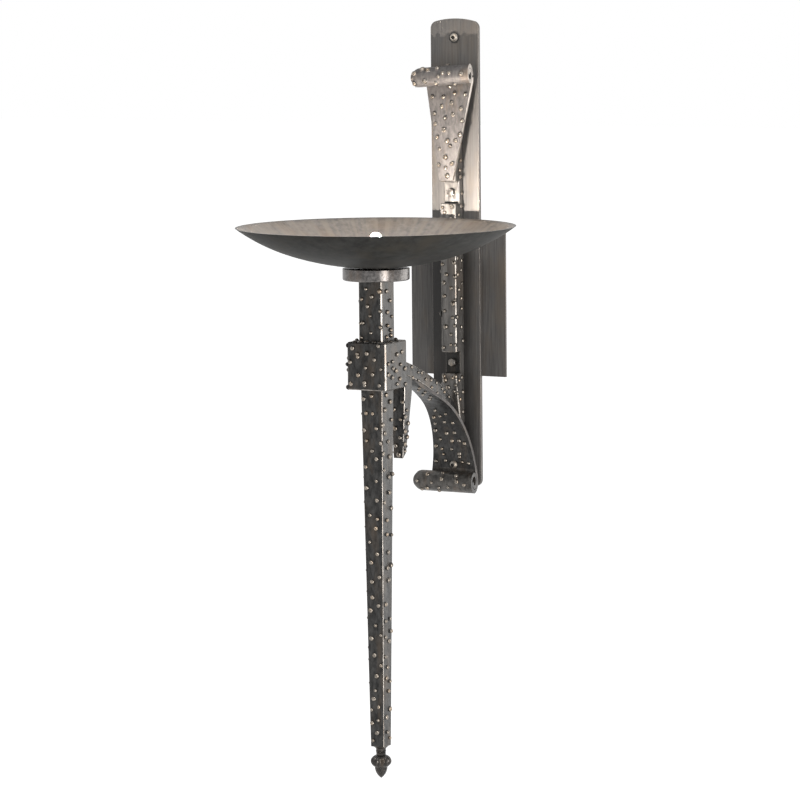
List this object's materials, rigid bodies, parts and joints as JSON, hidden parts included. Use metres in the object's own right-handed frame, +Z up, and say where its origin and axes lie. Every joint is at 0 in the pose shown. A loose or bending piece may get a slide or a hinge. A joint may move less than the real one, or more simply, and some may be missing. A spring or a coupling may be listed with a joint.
{
  "type": "torch sconce",
  "caption": "Wall torch sconce of dark forged steel: strip with rolled straps, curved arm, square collar, tapered torch stem with finial, and a shallow dish that holds a small capsule lamp.",
  "frame": {"origin": "centre of the wall plate on the wall face", "axes": "+Z up along the torch; the room lies towards -Y, the wall towards +Y; +X to the right for someone facing the wall"},
  "size_m": [0.3234, 0.3977, 0.8797],
  "materials": {
    "dark_steel": "waxed, studded with small raised points",
    "strip_steel": "dark patina with vertical brush marks",
    "seat_steel": "turned, lightly polished",
    "bronze": "dark patina",
    "bolt_steel": "satin",
    "washer_black": "matt",
    "porcelain": "unglazed white",
    "contact_brass": "bare",
    "lamp_glass": "clear",
    "filament": "glowing coil",
    "pin_wire": "bare wire"
  },
  "bodies": {
    "sconce": {"wall_plate": "dark_steel", "back_strip": "strip_steel", "spine_bar": "dark_steel", "spine_bolts": "bolt_steel", "upper_scroll": "dark_steel", "lower_scroll": "dark_steel", "strap_spacer": "bolt_steel", "arm_bar": "dark_steel", "drop_bar": "dark_steel", "collar_sleeve": "dark_steel", "collar_covers": "dark_steel", "torch_neck": "dark_steel", "torch_stem": "dark_steel", "stem_plug": "bolt_steel", "finial_cup": "bronze", "finial_bulb": "bronze", "finial_stud": "bolt_steel", "dish_seat": "seat_steel", "dish": "strip_steel", "lamp_holder": "porcelain", "holder_contacts": "contact_brass", "holder_screws": "bolt_steel", "wall_screws": "bolt_steel", "screw_washer": "washer_black"},
    "lamp": {"lamp_glass": "lamp_glass", "lamp_filament": "filament", "lamp_pins": "pin_wire"}
  },
  "joints": [
    {"name": "lamp_lift", "type": "slide", "parent": "sconce", "child": "lamp", "axis": [0, 0, 1], "range_m": [0, 0.07]}
  ]
}
